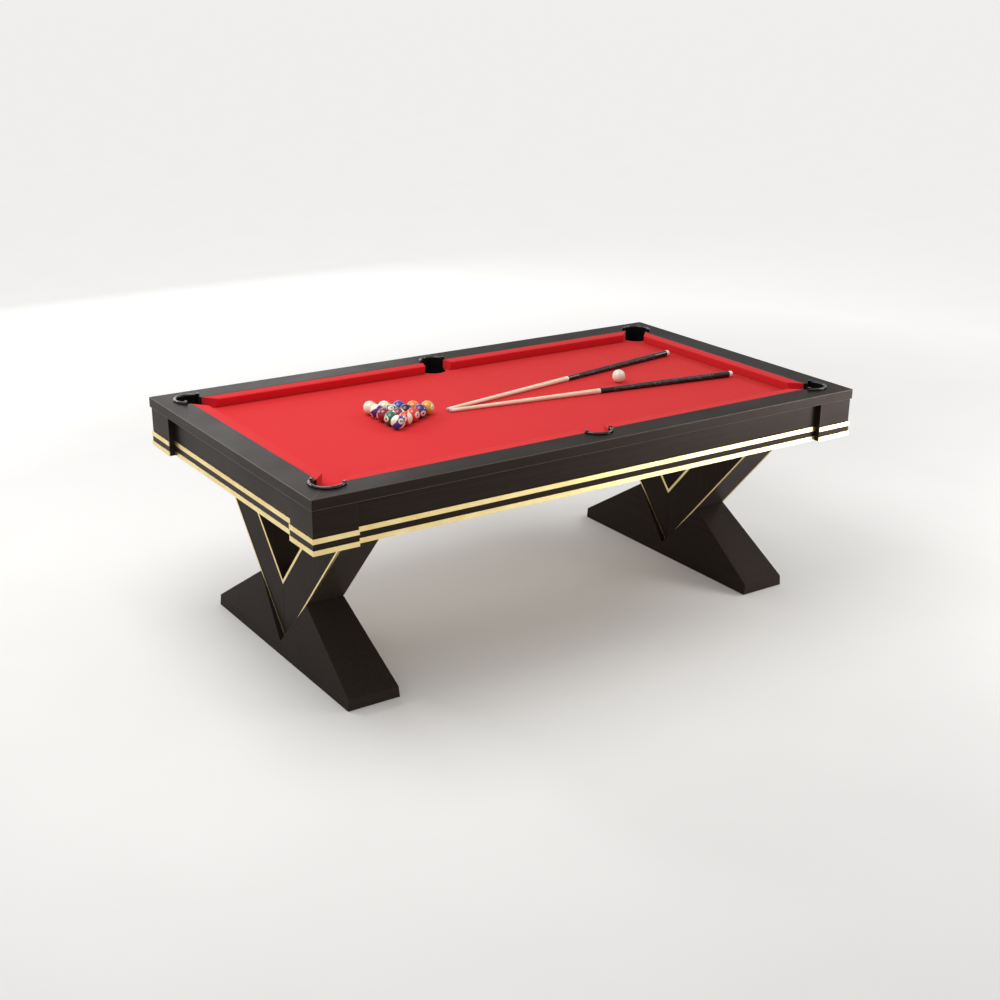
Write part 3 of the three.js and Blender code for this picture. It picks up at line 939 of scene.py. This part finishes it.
def add_edging(bm, x, sy):
    """Gold strips on both faces of an arm, folded over the outside face's edge above the foot."""
    outer_rise = EDGING["outer"] * RISE_PER_WIDTH
    inner_rise = EDGING["inner"] * RISE_PER_WIDTH
    outer = band_outline(sy, ARM["outer_apex"], ARM["outer_apex"] + outer_rise)
    inner = band_outline(sy, ARM["inner_apex"] - inner_rise, ARM["inner_apex"])
    for side in (-1, 1):
        for strip in (outer, inner):
            add_prism(bm, strip, x + side * ARM_CORE, x + side * ARM["half"], across)
    fold = band_outline(sy, ARM["outer_apex"] - 1.4, ARM["outer_apex"] + 1.0, PEAK_Y + 2)
    outside = math.copysign(1, x)
    edge = x + outside * ARM["half"]
    add_prism(bm, fold, *sorted((edge - outside * EDGING["fold"], edge)), across)


for name, x in PEDESTALS.items():
    for end, sy in {"front": -1, "back": 1}.items():
        node = f"arm_{name}_{end}"
        bm = bmesh.new()
        outline = band_outline(sy, ARM["outer_apex"], ARM["inner_apex"])
        add_prism(bm, outline, x - ARM_CORE, x + ARM_CORE, across)
        mesh = finish_mesh(bm, f"pedestal_{node}")
        add_piece(mesh.name, mesh, LACQUER_ARM, replaces=[node], bevel=1.2)
        bm = bmesh.new()
        add_edging(bm, x, sy)
        mesh = finish_mesh(bm, f"gold_edging_{name}_{end}")
        add_piece(mesh.name, mesh, GOLD_Z, replaces=[node], bevel=0.4, segments=2)

# %% Make the beams
for name in PEDESTALS:
    low, high = box_mm(f"beam_{name}")
    outline = [(low.x, low.y), (high.x, low.y), (high.x, high.y), (low.x, high.y)]
    add_board(
        f"bed_beam_{name}", outline, (low.z, high.z), DEAL, f"beam_{name}", 2
    )
print("pedestals made")

# %% [markdown]
# ## Balls
#
# Pool balls are cast phenolic resin, ground and polished to a deep gloss. Solid balls are one
# colour, striped balls are ivory with a broad coloured band, and both carry their number on a
# white disc. The band and the disc go right through the surface, so they are drawn by the
# material from the direction of each point seen from the ball's middle. The digits are thin
# inlays made from text, bent onto the sphere.

# %% Colours and how each ball lies
SOLID_COLOURS = {
    1: "#e9b22e", 2: "#2346a8", 3: "#e2432c", 4: "#4f2478",
    5: "#f08f45", 6: "#12705a", 7: "#9c1c26", 8: "#0d0d0d",
}
IVORY = "#f4ead6"
# The disc and, on striped balls, the middle of a white cap: how far to the right and upwards
# each one faces, from 0 to 1, for someone standing at the front left corner.
BALL_DISCS = {
    1: (0.80, 0.00), 2: (0.10, -0.92), 3: (0.70, -0.05), 4: (0.52, -0.38), 5: (0.20, -0.90),
    6: (-0.58, -0.12), 7: (-0.97, -0.15), 8: (0.30, -0.80), 9: (0.75, 0.20), 10: (0.63, 0.00),
    11: (-0.02, -0.12), 12: (-0.75, -0.62), 13: (0.80, 0.50), 14: (0.00, 0.42), 15: (0.43, -0.90),
}
WHITE_CAPS = {
    9: (-0.35, 0.35), 10: (-0.74, 0.54), 11: (0.98, 0.12), 12: (-0.60, 0.78),
    13: (-0.15, 0.05), 14: (-0.25, -0.87), 15: (-0.85, -0.40),
}
STRIPE_HALF = 0.50
DISC_EDGE = math.cos(math.radians(24))


def facing(right, up):
    """The direction, in the table's frame, that faces right and up by so much."""
    ahead = math.sqrt(max(0, 1 - right * right - up * up))
    return (level_right * right + level_up * up + to_viewer * ahead).normalized()


def disc_direction(number):
    """Where a ball's number faces. On a striped ball it sits in the middle of the stripe."""
    disc = facing(*BALL_DISCS[number])
    if number in WHITE_CAPS:
        cap = facing(*WHITE_CAPS[number])
        disc = (disc - cap * disc.dot(cap)).normalized()
    return disc


# %% Cast phenolic resin
def resin(number):
    """Phenolic resin refracts strongly, so its polish is sharper than that of most plastics."""
    fixed = {"IOR": 1.6, "Coat Weight": 0.3, "Coat Roughness": 0.04}
    name = f"phenolic_resin_{number}" if number else "phenolic_resin_cue_ball"
    material, shader, place = start_material(name, fixed)
    direction = add_node(
        material, "ShaderNodeVectorMath", {"operation": "NORMALIZE"}, {0: place}
    ).outputs["Vector"]

    def along(axis):
        return add_node(
            material, "ShaderNodeVectorMath", {"operation": "DOT_PRODUCT"},
            {0: direction, 1: axis},
        ).outputs["Value"]

    swirl = add_node(
        material, "ShaderNodeTexNoise", {}, {"Vector": place, "Scale": 70, "Detail": 3}
    ).outputs["Fac"]
    handled = add_node(
        material, "ShaderNodeTexNoise", {}, {"Vector": place, "Scale": 260, "Detail": 4}
    ).outputs["Fac"]
    mottle = span(material, swirl, 0.3, 0.7, 0, 0.12)
    ivory = blend_colours(material, mottle, to_linear(IVORY), to_linear("#e3d2b0"))
    colour = ivory
    if number:
        dye = to_linear(SOLID_COLOURS[(number - 1) % 8 + 1])
        colour = blend_colours(material, mottle, dye, to_linear("#4a2a20"))
        if number in WHITE_CAPS:
            cap = facing(*WHITE_CAPS[number])
            tilt = add_node(
                material, "ShaderNodeMath", {"operation": "ABSOLUTE"}, {0: along(cap)}
            ).outputs[0]
            is_cap = span(material, tilt, STRIPE_HALF - 0.008, STRIPE_HALF + 0.008, 0, 1)
            colour = blend_colours(material, is_cap, colour, ivory)
        seen = along(disc_direction(number))
        is_disc = span(material, seen, DISC_EDGE - 0.003, DISC_EDGE + 0.003, 0, 1)
        colour = blend_colours(material, is_disc, colour, ivory)
    roughness = span(material, handled, 0.3, 0.7, 0.05, 0.13)
    wire(material, shader, {"Base Color": colour, "Roughness": roughness})
    return material


# %% Bend the digits onto the ball
ONE_DIGIT_SIZE = 16
TWO_DIGIT_SIZE = 11
DIGIT_BOLDNESS = 0.6
DIGIT_PROUD = 0.05
DIGIT_DEPTH = 0.6


def number_mesh(number, radius, disc):
    """Bold digits some 8 to 11 mm tall, as a closed inlay that stands just above the resin."""
    text = bpy.data.curves.new("digits", "FONT")
    text.body = str(number)
    text.align_x = "CENTER"
    text.align_y = "CENTER"
    text.size = ONE_DIGIT_SIZE if number < 10 else TWO_DIGIT_SIZE
    text.offset = DIGIT_BOLDNESS
    text.extrude = 0.4
    text.resolution_u = 4
    writer = bpy.data.objects.new("digits", text)
    bm = bmesh.new()
    flat = bpy.data.meshes.new_from_object(writer)
    bm.from_mesh(flat)
    bpy.data.meshes.remove(flat)
    bpy.data.objects.remove(writer)
    bpy.data.curves.remove(text)
    bmesh.ops.remove_doubles(bm, verts=bm.verts, dist=0.001)
    bmesh.ops.triangulate(bm, faces=bm.faces)
    long_edges = [edge for edge in bm.edges if edge.calc_length() > 1.2]
    bmesh.ops.subdivide_edges(bm, edges=long_edges, cuts=2, use_grid_fill=False)
    bmesh.ops.triangulate(bm, faces=bm.faces)
    up = (level_up - disc * level_up.dot(disc)).normalized()
    right = up.cross(disc)
    for vert in bm.verts:
        spread = disc * radius + right * vert.co.x + up * vert.co.y
        depth = radius + (DIGIT_PROUD if vert.co.z > 0 else -DIGIT_DEPTH)
        vert.co = spread.normalized() * depth
    return bm


def ink():
    """Black resin cast into the disc. It is as smooth as the ball, but a little duller."""
    material, shader, place = start_material("black_resin_digits", {"IOR": 1.6})
    swirl = add_node(
        material, "ShaderNodeTexNoise", {}, {"Vector": place, "Scale": 300, "Detail": 2}
    ).outputs["Fac"]
    colour = blend_colours(material, swirl, to_linear("#080808"), to_linear("#181614"))
    roughness = span(material, swirl, 0.3, 0.7, 0.12, 0.22)
    wire(material, shader, {"Base Color": colour, "Roughness": roughness})
    return material


INK = ink()


def make_ball(node, number):
    low, high = box_mm(node)
    centre = (low + high) / 2
    radius = (high.z - low.z) / 2
    bm = bmesh.new()
    bmesh.ops.create_icosphere(bm, subdivisions=5, radius=radius)
    mesh = finish_mesh(bm, f"cast_{node}")
    ball = add_piece(mesh.name, mesh, resin(number), body=node, replaces=[node])
    ball.location = centre * MM
    if number:
        mesh = finish_mesh(number_mesh(number, radius, disc_direction(number)), f"{node}_digits")
        digits = add_piece(mesh.name, mesh, INK, body=node)
        digits.location = centre * MM


for number in range(1, 16):
    make_ball(f"ball_{number}", number)
make_ball("cue_ball", 0)
print("balls made")

# %% [markdown]
# ## Cues
#
# A cue is turned from one taper: a leather tip, a white ferrule, a maple shaft, a collar at the
# joint, a black butt with a wrap of speckled linen thread, and a white bumper. Each of these is
# its own turned piece with its own finish, laid end to end along the taper.

# %% Finishes of a cue
def maple():
    """Hard maple, sanded and sealed: pale, with fine dark flecks along the shaft."""
    fixed = {"IOR": 1.5, "Coat Weight": 0.2, "Coat Roughness": 0.2}
    material, shader, place = start_material("sealed_maple", fixed)
    # Grain lines are 1 to 2 mm apart and run along the shaft.
    squeezed = add_node(
        material, "ShaderNodeMapping", {}, {"Vector": place, "Scale": (600, 600, 9)}
    ).outputs["Vector"]
    grain = add_node(
        material, "ShaderNodeTexNoise", {}, {"Vector": squeezed, "Scale": 1, "Detail": 3}
    ).outputs["Fac"]
    colour = blend_colours(
        material, span(material, grain, 0.35, 0.7, 0, 1),
        to_linear("#f8e8d0"), to_linear("#ecd2ac"),
    )
    roughness = span(material, grain, 0.3, 0.7, 0.24, 0.36)
    wire(material, shader, {"Base Color": colour, "Roughness": roughness})
    return material


def linen_wrap():
    """Black linen thread with white flecks. It is wound at 0.5 mm, and drawn at 3 mm."""
    material, shader, place = start_material("linen_thread_wrap", {"IOR": 1.5, "Roughness": 0.32})
    threads = add_node(
        material, "ShaderNodeTexWave", {"bands_direction": "Z"},
        {"Vector": place, "Scale": 105, "Distortion": 0.6},
    ).outputs["Fac"]
    squeezed = add_node(
        material, "ShaderNodeMapping", {}, {"Vector": place, "Scale": (120, 120, 260)}
    ).outputs["Vector"]
    flecks = add_node(
        material, "ShaderNodeTexNoise", {}, {"Vector": squeezed, "Scale": 1, "Detail": 3}
    ).outputs["Fac"]
    colour = blend_colours(
        material, span(material, flecks, 0.54, 0.70, 0, 1),
        to_linear("#0a0a0a"), to_linear("#77746f"),
    )
    wound = add_node(
        material, "ShaderNodeBump", {}, {"Strength": 0.5, "Distance": 0.0006, "Height": threads}
    ).outputs["Normal"]
    wire(material, shader, {"Base Color": colour, "Normal": wound})
    return material


def turned_plastic(name, light, dark, gloss):
    material, shader, place = start_material(name, {"IOR": 1.5, "Coat Weight": 0.3})
    cloud = add_node(
        material, "ShaderNodeTexNoise", {}, {"Vector": place, "Scale": 90, "Detail": 3}
    ).outputs["Fac"]
    colour = blend_colours(material, cloud, to_linear(light), to_linear(dark))
    roughness = span(material, cloud, 0.3, 0.7, gloss, gloss + 0.1)
    wire(material, shader, {"Base Color": colour, "Roughness": roughness})
    return material


CUE_FINISHES = {
    "leather": turned_plastic("pressed_leather_tip", "#cfc3b4", "#a89a88", 0.7),
    "white": turned_plastic("white_melamine", "#f7f4ee", "#ece6da", 0.2),
    "maple": maple(),
    "black": turned_plastic("black_lacquered_butt", "#0a0a0a", "#161514", 0.1),
    "linen": linen_wrap(),
}

# %% Turn the pieces of a cue
CUE_LENGTH = 1219
CUE_JOINT = 622
TIP_RADIUS = 6.5
BUTT_RADIUS = 12
CUE_TAPER = [
    (0, TIP_RADIUS), (20, TIP_RADIUS), (CUE_JOINT, 9.6), (1205, BUTT_RADIUS),
    (CUE_LENGTH, BUTT_RADIUS),
]
CUE_PIECES = [
    ("tip", "leather", 0, 6),
    ("ferrule", "white", 6, 30),
    ("shaft", "maple", 30, 608),
    ("collar", "white", 608, CUE_JOINT),
    ("forearm", "black", CUE_JOINT, 680),
    ("wrap", "linen", 680, 1130),
    ("sleeve", "black", 1130, 1203),
    ("bumper", "white", 1203, CUE_LENGTH),
]


def cue_radius(along):
    for (s0, r0), (s1, r1) in zip(CUE_TAPER, CUE_TAPER[1:]):
        if along <= s1:
            return r0 + (r1 - r0) * (along - s0) / (s1 - s0)
    return CUE_TAPER[-1][1]


def cue_profile(part, start, end):
    """A stretch of the taper, with its edges eased so that a fine line shows at each joint."""
    ease = 0.3
    stations = [start, start + ease, end - ease, end]
    radii = [cue_radius(s) for s in stations]
    radii[0] -= ease
    radii[-1] -= ease
    if part == "tip":
        stations = [start, start + 0.8, start + 2.2, end]
        radii = [3.5, 5.2, 6.3, TIP_RADIUS]
    if part == "bumper":
        stations = [start, start + 0.4, end - 4, end - 1.5, end]
        radii = [11.7, BUTT_RADIUS, BUTT_RADIUS, 11, 9]
    points = list(zip(radii, stations))
    return [(0, start)] + points + [(0, end)]


# %% Lay the two cues on the cloth
CUE_LINES = {
    "cue_1": ((-252, 26), (948, 224)),
    "cue_2": ((-252, 9.5), (953, -163)),
}
for cue, (tip, butt) in CUE_LINES.items():
    low = Vector((*tip, PLAY_Z + 2 * GAP + TIP_RADIUS))
    high = Vector((*butt, PLAY_Z + 2 * GAP + BUTT_RADIUS))
    direction = (high - low).normalized()
    lie = Matrix.Translation(low * MM) @ direction.to_track_quat("Z", "Y").to_matrix().to_4x4()
    for part, finish, start, end in CUE_PIECES:
        bm = bmesh.new()
        add_turned(bm, cue_profile(part, start, end), 48)
        mesh = finish_mesh(bm, f"{cue}_{part}")
        piece = add_piece(mesh.name, mesh, CUE_FINISHES[finish], cue, [cue])
        piece.matrix_world = lie
print("cues made")

# %% [markdown]
# ## Floor and light
#
# A plain pale floor and broad, soft lamps, as in a product studio. The paper glows a little far
# from the table, so that it stays pale to the horizon. A lamp overhead and a bright wall behind
# give the rails their sheen, and a smaller lamp at the back left gives the balls their shadows.
# A lamp and a low card at the right light the right end and put a shine on the gold. No lamp
# stands at the front left, so the near corner stays dark.

# %% Lay the floor
FLOOR_REACH = 200000
FLOOR_DROP = 0.5
bm = bmesh.new()
corners = [
    bm.verts.new((sx * FLOOR_REACH, sy * FLOOR_REACH, -FLOOR_DROP)) for sx, sy in CORNERS.values()
]
bm.faces.new(corners)
floor = bpy.data.objects.new("studio_floor", finish_mesh(bm, "studio_floor"))
bpy.context.scene.collection.objects.link(floor)
paper, shader, place = start_material("backdrop_paper", {"Roughness": 0.9})
fibre = add_node(
    paper, "ShaderNodeTexNoise", {}, {"Vector": place, "Scale": 2.5, "Detail": 4}
).outputs["Fac"]
tone = blend_colours(paper, fibre, to_linear("#f1f0ee"), to_linear("#f6f5f3"))
distance = add_node(
    paper, "ShaderNodeVectorMath", {"operation": "LENGTH"}, {0: place}
).outputs["Value"]
# The glow grows between these distances from the middle of the table, in metres.
GLOW_STARTS, GLOW_FULL = 2.6, 5.4
glow = span(paper, distance, GLOW_STARTS, GLOW_FULL, 0.05, 0.46)
wire(paper, shader, {"Base Color": tone, "Emission Color": tone, "Emission Strength": glow})
floor.data.materials.append(paper)


# %% Hang the lamps
def add_lamp(name, position, target, size, power):
    """A white rectangular lamp. Places and sizes are in metres, and the power is in watts."""
    data = bpy.data.lights.new(name, "AREA")
    data.shape = "RECTANGLE"
    data.size, data.size_y = size
    data.energy = power
    lamp = bpy.data.objects.new(name, data)
    lamp.location = position
    aim = Vector(target) - Vector(position)
    lamp.rotation_euler = aim.to_track_quat("-Z", "Y").to_euler()
    bpy.context.scene.collection.objects.link(lamp)


add_lamp("overhead_softbox", (-1.3, 0.1, 3.1), (-0.6, 0, 0.8), (2.2, 1.8), 43)
add_lamp("back_wall", (-0.3, 5.5, 2.2), (-0.2, 0, 0.9), (6.0, 3.0), 66)
add_lamp("back_left_lamp", (-2.8, 3.2, 2.9), (-1.1, 0, 0.8), (0.9, 0.8), 30)
add_lamp("right_lamp", (3.2, -0.8, 2.8), (0.95, -0.45, 0.1), (1.6, 1.4), 26)
add_lamp("right_card", (3.0, -2.8, 0.35), (1.0, -0.64, 0.7), (1.8, 0.8), 75)

world = bpy.data.worlds.new("studio_air")
bpy.context.scene.world = world
world.use_nodes = True
sky = world.node_tree.nodes["Background"]
sky.inputs["Color"].default_value = to_linear("#ffffff")
sky.inputs["Strength"].default_value = 0.5
bpy.context.scene.view_settings.view_transform = "Standard"
